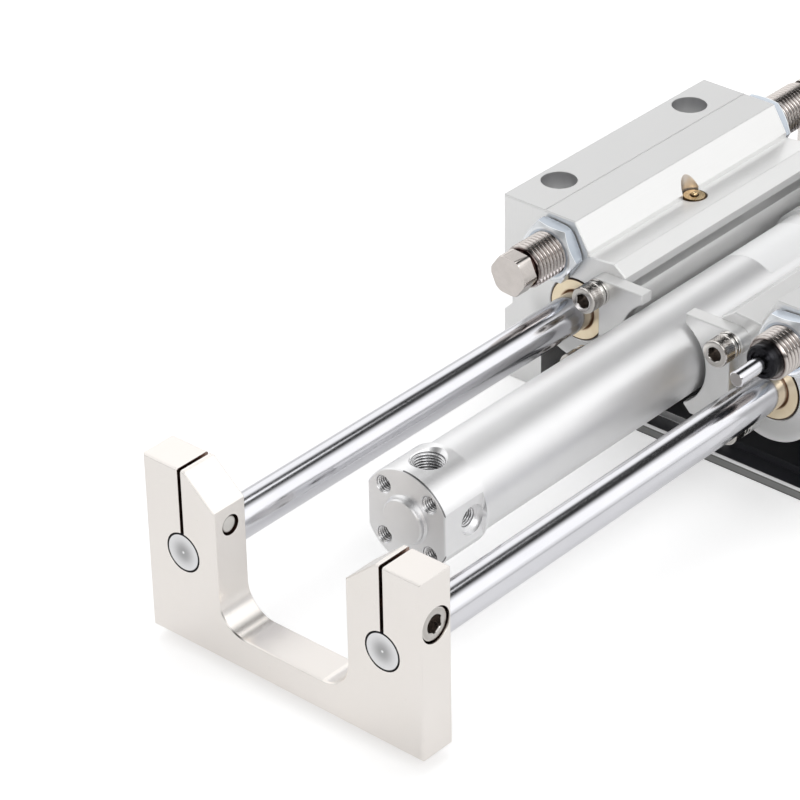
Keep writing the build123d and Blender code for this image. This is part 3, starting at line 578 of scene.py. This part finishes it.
HOLDER_THICK = 4.5 * MM
FLAT_WASHER = 1.0 * MM
WASHERS = 2.5 * MM
WASHER_BORE = 2.6 * MM
holder_places = [(side * y, z) for side in (-1, 1) for y, z in (
    (24.1 * MM, AXIS + 12.4 * MM), (28.6 * MM, AXIS - 12.1 * MM))]
seat = -HALF_BODY - HOLDER_THICK
screws = []
rings = []
for y, z in holder_places:
    for ring in (washer(0, FLAT_WASHER, WASHER_BORE, 4.2 * MM),
                 spring_washer(FLAT_WASHER, WASHERS, WASHER_BORE, 4.0 * MM)):
        rings.append(placed(ring, (seat, y, z), (-1, 0, 0)))
    screws.append(placed(cap_screw(5 * MM, 16 * MM - WASHERS), (seat - WASHERS, y, z), (-1, 0, 0)))
holder_screws = piece("holder_cap_screws", screws, steel.material, "frame")
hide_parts("holder_screws")
holder_rings = piece("holder_spring_washers", rings, steel.material, "frame")
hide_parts("holder_washers")
EDGE_SEAT = 61.2 * MM
EDGE_HEIGHT = 3.2 * MM
edge_screws = [
    placed(cap_screw(2.5 * MM, 22 * MM), (x, side * EDGE_SEAT, EDGE_HEIGHT), (0, side, 0))
    for x in (-40 * MM, 0.0, 40 * MM) for side in (-1, 1)]
edge_screws = piece("edge_cap_screws", edge_screws, steel.material, "frame")
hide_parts("base_plate_screws")


def corners(y, z):
    """The four places y to either side of the cylinder's axis, and z below or above it."""
    return [(side * y, AXIS + way * z) for side in (-1, 1) for way in (-1, 1)]


MOUNT_FACE = HALF_BODY + 6 * MM
COVER_HOLE = 8.25 * MM
mount_screws = [
    placed(cap_screw(5 * MM, length), (MOUNT_FACE, y, z), (1, 0, 0))
    for length, places in ((18 * MM, holder_places), (13 * MM, corners(COVER_HOLE, COVER_HOLE)))
    for y, z in places]
mount_screws = piece("mount_cap_screws", mount_screws, steel.material, "frame")
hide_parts("front_mount_screws")
FRONT_FACE = 97.05 * MM
END_SEAT = FRONT_FACE - 6.4 * MM
end_screws = [placed(cap_screw(6 * MM, 16 * MM), (END_SEAT, y, AXIS), (1, 0, 0))
              for y in (-ROD_Y, 0.0, ROD_Y)]
end_screws = piece("end_cap_screws", end_screws, steel.material, "carriage")
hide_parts("rod_end_screws")


# Stop bolts. Nickel-plated fine-thread steel bolts in the left housing's ends, with a hexagon at
# the tip and a neck behind it. Each is locked by a nut.
def threaded(x, angles, outer, depth, pitch):
    """Radius of a thread: the outer radius less a groove that follows the helix x = pitch times
    the turn, with flats a tenth of the pitch wide at crest and root."""
    across_pitch = zigzag(x[:, None] / pitch - angles[None, :] / (2 * math.pi))
    return outer - depth * np.clip((across_pitch - 0.1) / 0.8, 0, 1)


STOP_Y = 43.3 * MM
STOP_Z = AXIS + 18.8 * MM
STOP_RADIUS = 7.0 * MM
PITCH = 1.5 * MM
THREAD_DEPTH = 0.85 * MM
END_CHAMFER = 0.8 * MM


def fine_thread(x, angles, start):
    """Radius of the stop thread, kept under a chamfer: the start radius plus the way along x."""
    chamfered = np.minimum(STOP_RADIUS, start + (x - x[0]))
    thread = threaded(x, angles, STOP_RADIUS, THREAD_DEPTH, PITCH)
    return np.minimum(chamfered[:, None], thread)


def stop_bolt(turn, around=120):
    """Bolt along X with its tip at zero: hexagon with a corner at the angle turn, neck, then
    thread. The hexagon's radius is the smaller of its flats and a turned edge."""
    angles = angles_round(around)
    tip_chamfer, hex_end, neck_end = 0.35 * MM, 5.4 * MM, 6.8 * MM
    thread_end, length = neck_end + 26 * MM, 45.0 * MM
    turned_edge, neck = 6.68 * MM, 5.7 * MM
    thread_x = np.linspace(neck_end, thread_end, 313)
    x = np.concatenate([[0.0, tip_chamfer, hex_end, hex_end], thread_x[:1], thread_x,
                        [thread_end + 0.01 * MM, length - END_CHAMFER, length]])
    radius = np.zeros((len(x), around))
    flats = hexagon(angles - turn - math.radians(30), 12.0 * MM)
    radius[0] = np.minimum(flats, turned_edge - tip_chamfer)
    radius[1:3] = np.minimum(flats, turned_edge)
    radius[3:5] = neck
    radius[5:-3] = fine_thread(thread_x, angles, 6.1 * MM)
    radius[-3:-1] = STOP_RADIUS
    radius[-1] = STOP_RADIUS - END_CHAMFER
    # Painted shade: the neck is painted dark, and the thread's roots the more so the deeper they lie.
    painted_shade = np.zeros(radius.shape)
    painted_shade[3:6] = 1.0
    painted_shade[5:-3] = (STOP_RADIUS - radius[5:-3]) / THREAD_DEPTH
    return surface(spun(x[:, None], radius, angles), np.clip(painted_shade, 0, 1))


nickel = Finish("nickel_plate", Metallic=1.0)
nickel_cloud = nickel.grain(2.5 * MM)
nickel_scuff = nickel.grain(0.4 * MM)
# Painted shade: the bolts' necks and the roots of the bolts' and absorbers' threads are painted near
# black.
nickel.link(
    Base_Color=nickel.mix(
        nickel.painted_shade() * nickel.painted_shade(),
        nickel.mix(nickel_cloud, (0.62, 0.58, 0.55), (0.74, 0.69, 0.66)),
        (0.07, 0.04, 0.035)),
    Roughness=0.14 + 0.10 * nickel_scuff,
)
nickel.bump(nickel_scuff, 0.006 * MM, 0.4)
HEX_TURN = math.radians(5)
for name, way, reach in (("rear", 1, 23.4 * MM), ("front", -1, 31.0 * MM)):
    origin = (-way * (HALF_BODY + reach), STOP_Y, STOP_Z)
    bolt = placed(stop_bolt(way * HEX_TURN), origin, (way, 0, 0))
    bolt = piece("stop_bolt_threaded_" + name, [bolt], nickel.material, "frame")
    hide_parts("stop_bolt_" + name)

# Lock nuts. Zinc-plated hexagon nuts, drawn up against both ends of the body on the stop bolts and
# on the absorbers, with a dark joint at the foot and a painted highlight on the chamfer round the
# outer face.
NUT_FACE = 4.35 * MM
NUT_CHAMFER = 8.9 * MM
zinc = Finish("zinc_plate", Metallic=0.65)
zinc_cloud = zinc.grain(3 * MM)
zinc_speck = zinc.grain(0.25 * MM)
from_body = zinc.size(zinc.x) - HALF_BODY
foot_line = 1 - zinc.step(from_body, 0.40 * MM, 0.48 * MM)
from_stop = zinc.radius(zinc.size(zinc.y) - STOP_Y, zinc.z - STOP_Z)
outward = from_body + 0.5 * (from_stop - NUT_CHAMFER)
# Painted highlight: the chamfer round the outer face is painted near white.
chamfer = zinc.step(outward, NUT_FACE, NUT_FACE + 0.2 * MM)
plate = zinc.mix(zinc_cloud, (0.54, 0.60, 0.67), (0.63, 0.68, 0.75))
plate = zinc.mix(chamfer, plate, (0.93, 0.96, 0.99))
zinc.link(
    Base_Color=zinc.mix(foot_line, plate, (0.09, 0.09, 0.10)),
    Roughness=0.18 + 0.08 * zinc_cloud,
)
zinc.bump(zinc_speck, 0.003 * MM, 0.3)
zinc.give("lock_nut_rear_left", "lock_nut_rear_right", "lock_nut_front_left",
          "lock_nut_front_right")


# Shock absorbers. Nickel-plated steel tubes with the same fine thread, in the right housing's
# ends. Each has a blackened ring at its mouth and a ground pin that a plate pushes in.
def absorber_tube(around=120):
    """Tube along X from its mouth at zero, closed at the far end. The thread is on its outside,
    and a plain bore goes in from the mouth."""
    angles = angles_round(around)
    length, bore, bore_end, thread_end = 62.0 * MM, 4.6 * MM, 57.0 * MM, 28 * MM
    thread_x = np.linspace(0.0, thread_end, 337)
    x = np.concatenate([[bore_end, 0.0], thread_x,
                        [thread_end + 0.01 * MM, length - END_CHAMFER, length]])
    radius = np.zeros((len(x), around))
    radius[:2] = bore
    radius[2:-3] = fine_thread(thread_x, angles, 6.2 * MM)
    radius[-3:-1] = STOP_RADIUS
    radius[-1] = STOP_RADIUS - END_CHAMFER
    # Painted shade in the thread's roots, the more so the deeper they lie.
    painted_shade = np.zeros(radius.shape)
    painted_shade[2:-3] = (STOP_RADIUS - radius[2:-3]) / THREAD_DEPTH
    return surface(spun(x[:, None], radius, angles), np.clip(painted_shade, 0, 1))


for name, way, mouth in (("rear", 1, 13.2 * MM), ("front", -1, 20.8 * MM)):
    origin = (-way * (HALF_BODY + mouth), -STOP_Y, STOP_Z)
    tube = placed(absorber_tube(), origin, (way, 0, 0))
    tube = piece("absorber_threaded_" + name, [tube], nickel.material, "frame")
    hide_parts("shock_absorber_" + name)
oxide = Finish("black_oxide", Metallic=1.0)
oxide_cloud = oxide.grain(1.5 * MM)
oxide.link(
    Base_Color=oxide.mix(oxide_cloud, (0.015, 0.015, 0.017), (0.045, 0.045, 0.050)),
    Roughness=0.24 + 0.12 * oxide_cloud,
)
oxide.bump(oxide_cloud, 0.01 * MM, 0.3)
oxide.give("absorber_ring_rear", "absorber_ring_front")

# Cylinder covers. A head cover and a rod cover of bead-blasted aluminium, pressed on the tube's
# ends. The head cover has four tapped holes in its face, and both have a port on top and a tapped
# hole in each side.
COVER_REAR = -169.0 * MM
COVER_RADIUS = 15.5 * MM
COVER_TAP = 2.53 * MM
PORT_REAR = COVER_REAR + 9.5 * MM
PORT_FRONT = HALF_BODY - 13 * MM
PORT_TAP = 4.83 * MM
SIDE_REAR = COVER_REAR + 11.5 * MM
SIDE_TAP = 2.98 * MM
blasted = Finish("blasted_cover", Metallic=0.85)
bead = blasted.grain(0.3 * MM)
blasted_cloud = blasted.grain(7 * MM)
above = blasted.z - AXIS
from_hole = blasted.radius(blasted.size(blasted.y) - COVER_HOLE, blasted.size(above) - COVER_HOLE)
# Painted shade: the insides of the face holes, the port and the side holes are painted near black.
in_hole = (from_hole < COVER_TAP + 0.09 * MM) * (blasted.x > COVER_REAR + 0.5 * MM)
from_port = blasted.radius(blasted.x - PORT_REAR, blasted.y)
in_port = (from_port < PORT_TAP + 0.12 * MM) * (above < 14.2 * MM) * (above > 6 * MM)
from_side = blasted.radius(blasted.x - SIDE_REAR, above)
in_side = (from_side < SIDE_TAP + 0.12 * MM) * (blasted.size(blasted.y) < 11.7 * MM)
inside = blasted.high(in_hole, blasted.high(in_port, in_side))
# Painted shade: a dark line round the front face's edge on the -Y side, and the front face painted
# darker towards -Y.
from_centre = blasted.radius(blasted.y, above)
painted_rim_shade = (from_centre > COVER_RADIUS - 0.3 * MM) * (blasted.x < COVER_REAR + 0.45 * MM)
painted_rim_shade = painted_rim_shade * (blasted.y < 1 * MM)
painted_face_shade = 1 - blasted.step(blasted.x, COVER_REAR + 0.2 * MM, COVER_REAR + 0.4 * MM)
painted_face_shade = painted_face_shade * (1 - blasted.step(blasted.y, -13 * MM, 5 * MM))
cover = blasted.mix(blasted_cloud, (0.86, 0.86, 0.865), (0.93, 0.93, 0.935))
shaded = blasted.mix(painted_rim_shade, (0.52, 0.52, 0.53), (0.22, 0.22, 0.225))
cover = blasted.mix(blasted.high(painted_face_shade * 0.6, painted_rim_shade), cover, shaded)
blasted.link(
    Base_Color=blasted.mix(inside, cover, (0.07, 0.07, 0.073)),
    Roughness=0.28 + 0.10 * bead,
)
blasted.bump(bead, 0.012 * MM, 0.6)
blasted.give("head_cover", "rod_cover")

# Cylinder tube. Drawn aluminium, finely satined round its axis. The piston inside it is turned to
# the same finish.
satin = Finish("satin_tube", Metallic=0.88)
hoops = satin.grain(0.25 * MM, (1, 20, 20))
satin_cloud = satin.grain(12 * MM)
satin.link(
    Base_Color=satin.mix(satin_cloud, (0.84, 0.84, 0.845), (0.91, 0.91, 0.915)),
    Roughness=0.38 + 0.08 * hoops,
)
satin.bump(hoops, 0.006 * MM, 0.5)
satin.give("cylinder_tube", "piston")

# Inside of the cylinder. Seals, gaskets and bumpers of black nitrile rubber, and on the piston an
# acetal wear ring and a bonded magnet.
rubber = Finish("nitrile_rubber")
rubber_cloud = rubber.grain(0.8 * MM)
rubber.link(
    Base_Color=rubber.mix(rubber_cloud, (0.012, 0.012, 0.013), (0.030, 0.030, 0.032)),
    Roughness=0.5 + 0.2 * rubber_cloud,
)
rubber.bump(rubber_cloud, 0.02 * MM, 0.3)
rubber.give("tube_gaskets", "piston_rod_seal", "bumper_rear", "bumper_front", "piston_seal")
polymer = Finish("acetal")
polymer_cloud = polymer.grain(2 * MM)
polymer.link(
    Base_Color=polymer.mix(polymer_cloud, (0.68, 0.65, 0.56), (0.78, 0.75, 0.66)),
    Roughness=0.38 + 0.1 * polymer_cloud,
)
polymer.give("piston_wear_ring")
ferrite = Finish("bonded_ferrite")
ferrite_cloud = ferrite.grain(0.5 * MM)
ferrite.link(
    Base_Color=ferrite.mix(ferrite_cloud, (0.05, 0.045, 0.045), (0.11, 0.10, 0.10)),
    Roughness=0.55 + 0.15 * ferrite_cloud,
)
ferrite.give("piston_magnet")


# Tapped threads. The threads that show inside the cylinder's tapped holes and ports, cut into the
# covers and left bright, with painted shade between their ridges and further in.
def tapped(length, outer, depth, pitch, around=64):
    """Thread in a hole, from its mouth at zero inwards along X: a closed sleeve whose inner
    radius is the outer one less a ridge that follows the helix, and fades out at the mouth.
    Painted shade darkens it between the ridges, and the more so the further in."""
    angles = angles_round(around)
    turns = length / pitch
    x = np.linspace(0.0, length, int(turns * 10) + 1)
    ridge = outer - threaded(x, angles, outer, depth, pitch)
    fade = np.clip(x / (0.5 * pitch), 0, 1)[:, None]
    inner = outer - 0.02 * MM - ridge * fade
    shell = np.full((2, around), outer)
    radius = np.concatenate([inner, shell])
    # Painted shade: dark between the ridges, darker further in, and dark on the outer shell.
    dark = 1 - (1 - 0.6 * x[:, None] / length) * (ridge / depth)
    dark = np.concatenate([dark, np.ones((2, around))])
    x = np.concatenate([x, x[::-1][[0, -1]]])
    return surface(spun(x[:, None], radius, angles)[::-1], dark[::-1], closed=True)


thread_wall = Finish("tapped_thread", Metallic=0.7)
wall_speck = thread_wall.grain(0.3 * MM)
# Painted shade: the threads darken to near black where their painted shade is high.
thread_wall.link(
    Base_Color=thread_wall.mix(
        thread_wall.painted_shade() * thread_wall.painted_shade(),
        thread_wall.mix(wall_speck, (0.84, 0.84, 0.85), (0.93, 0.93, 0.94)),
        (0.05, 0.05, 0.053)),
    Roughness=0.22 + 0.10 * wall_speck,
)
HOLE_MOUTH = COVER_REAR + 0.35 * MM
PORT_MOUTH = AXIS + 14.3 * MM
SIDE_MOUTH = 11.8 * MM
face_threads = [
    placed(tapped(7.6 * MM, COVER_TAP, 0.46 * MM, 0.8 * MM), (HOLE_MOUTH, y, z), (1, 0, 0))
    for y, z in corners(COVER_HOLE, COVER_HOLE)]
for name, port_x, side_x, sleeves in (
    ("rear", PORT_REAR, SIDE_REAR, face_threads),
    ("front", PORT_FRONT, PORT_FRONT, []),
):
    sleeves.append(placed(tapped(7.0 * MM, PORT_TAP, 0.55 * MM, 0.907 * MM, 96),
                          (port_x, 0, PORT_MOUTH), (0, 0, -1)))
    for side in (-1, 1):
        sleeves.append(placed(tapped(4.8 * MM, SIDE_TAP, 0.45 * MM, 0.75 * MM),
                              (side_x, side * SIDE_MOUTH, AXIS), (0, -side, 0)))
    piece("cover_threads_" + name, sleeves, thread_wall.material, "frame", 60.0)


# Label. A blank white film, stuck over the top of the tube between the housings. Its edges are
# cut straight.
def arc_patch(x0, x1, inner, outer, start, end, around=60):
    """Film on a tube along X between two angles. Its ring runs along the outer arc and back
    along the inner one."""
    sweep = np.linspace(math.radians(start), math.radians(end), around)
    angles = np.concatenate([sweep, sweep[::-1]])
    radius = np.concatenate([np.full(around, outer), np.full(around, inner)])
    x = np.array([x0, x1])[:, None]
    return surface(spun(x, np.repeat(radius[None, :], 2, 0), angles))


TUBE_RADIUS = 14.25 * MM
LABEL_REAR = -12.5 * MM
LABEL_FRONT = 13.5 * MM
LABEL_START = 57
LABEL_END = 125
film = Finish("label_film")
film_grain = film.grain(0.8 * MM)
film.link(
    Base_Color=film.mix(film_grain, (0.91, 0.915, 0.92), (0.94, 0.945, 0.95)),
    Roughness=0.30 + 0.06 * film_grain,
)
film.bump(film_grain, 0.004 * MM, 0.3)
label = arc_patch(LABEL_REAR, LABEL_FRONT, TUBE_RADIUS - 0.1 * MM, TUBE_RADIUS + 0.08 * MM,
                  LABEL_START, LABEL_END)
label = placed(label, (0, 0, AXIS), (1, 0, 0))
piece("tube_label", [label], film.material, "frame")

# Guide rods, piston rod and absorber pins. Ground and hard-chromed steel bar. The guide rods'
# rear ends, flush with the rear plate, and the rear pin's tip are turned bare.
ROD_END = -218.8 * MM
PIN_END = -77.9 * MM
chrome = Finish("hard_chrome", Metallic=1.0)
chrome_cloud = chrome.grain(5 * MM, (4, 1, 1))
rod_end = 1 - chrome.step(chrome.x, ROD_END - 0.1 * MM, ROD_END)
from_axis = chrome.radius(chrome.size(chrome.y) - ROD_Y, chrome.z - AXIS)
end_rings = chrome.lathe(from_axis, 1.0, 1.0)
centre_dot = 1 - chrome.step(from_axis, 0.25 * MM, 0.5 * MM)
# Painted shade: a black ring along the edge of each rod's bare end.
painted_edge_shade = chrome.step(from_axis, ROD_RADIUS - 0.65 * MM, ROD_RADIUS - 0.55 * MM) * rod_end
outward = chrome.step(from_axis, 0.6 * MM, ROD_RADIUS - 0.8 * MM)
end_tone = chrome.mix(outward * 0.75 + end_rings * 0.25, (0.34, 0.34, 0.345), (0.86, 0.86, 0.87))
end_tone = chrome.mix(centre_dot, end_tone, (0.90, 0.90, 0.91))
end_tone = chrome.mix(painted_edge_shade, end_tone, (0.015, 0.015, 0.018))
from_pin = chrome.radius(chrome.size(chrome.y) - STOP_Y, chrome.z - STOP_Z)
pin_end = (from_pin < 2.6 * MM) * (chrome.x < PIN_END)
end_tone = chrome.mix(pin_end, end_tone, (0.42, 0.40, 0.39))
turned_end = chrome.high(rod_end, pin_end)
ground = chrome.mix(chrome_cloud, (0.68, 0.68, 0.715), (0.78, 0.78, 0.81))
chrome.link(
    Base_Color=chrome.mix(turned_end, ground, end_tone),
    Roughness=0.13 + 0.05 * chrome_cloud + 0.13 * turned_end,
)
chrome.give("guide_rod_left", "guide_rod_right", "piston_rod", "absorber_pin_rear",
            "absorber_pin_front")

# Rear plate and front plate. Warm off-white satin plates. The rear one is slit above each rod and
# drawn tight by a clamp screw from the side, with painted shade in its slits and screw bores. The
# front one has four tapped holes for the load.
SLIT_HALF = 0.63 * MM
PLATE_FRONT = -207 * MM
CLAMP_X = -213.4 * MM
CLAMP_SEAT = 42.6 * MM
CLAMP_Z = AXIS + 11.2 * MM
ivory = Finish("ivory_satin", Metallic=1.0)
ivory_speck = ivory.grain(0.4 * MM)
ivory_cloud = ivory.grain(18 * MM)
aside = ivory.size(ivory.y)
from_slit = ivory.size(aside - ROD_Y)
above_rod = ivory.z > AXIS + ROD_RADIUS - 0.1 * MM
# Painted shade: the slits' walls are painted dark brown, and the clamp screws' head bores and holes
# darker still.
painted_slit_shade = (from_slit < SLIT_HALF) * above_rod * (ivory.x < PLATE_FRONT)
from_clamp = ivory.radius(ivory.x - CLAMP_X, ivory.z - CLAMP_Z)
head_bore = (from_clamp < 5.45 * MM) * (aside < 48.6 * MM) * (aside > CLAMP_SEAT - 0.6 * MM)
painted_clamp_shade = ivory.high(head_bore, from_clamp < 3.1 * MM)
ivory.link(
    Base_Color=ivory.mix(
        ivory.high(painted_slit_shade, painted_clamp_shade),
        ivory.mix(ivory_cloud, (0.885, 0.845, 0.80), (0.915, 0.875, 0.845)),
        ivory.mix(painted_slit_shade, (0.10, 0.06, 0.05), (0.34, 0.24, 0.20))),
    Roughness=0.26 + 0.02 * ivory_speck,
)
ivory.bump(ivory_speck, 0.0006 * MM, 0.4, 0.2 * MM)
ivory.give("rear_plate", "front_plate")
clamp_screws = [
    placed(cap_screw(6 * MM, 18.7 * MM), (CLAMP_X, side * CLAMP_SEAT, CLAMP_Z), (0, side, 0))
    for side in (-1, 1)]
clamp_screws = piece("clamp_cap_screws", clamp_screws, steel.material, "carriage")
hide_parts("rear_clamp_screws")
LOAD_MOUTH = FRONT_FACE - 0.3 * MM
LOAD_TAP = 2.98 * MM
load_threads = [
    placed(tapped(15.4 * MM, LOAD_TAP, 0.5 * MM, 1.0 * MM), (LOAD_MOUTH, y, z), (-1, 0, 0))
    for y, z in corners(22 * MM, 18 * MM)]
piece("load_hole_threads", load_threads, thread_wall.material, "carriage", 60.0)
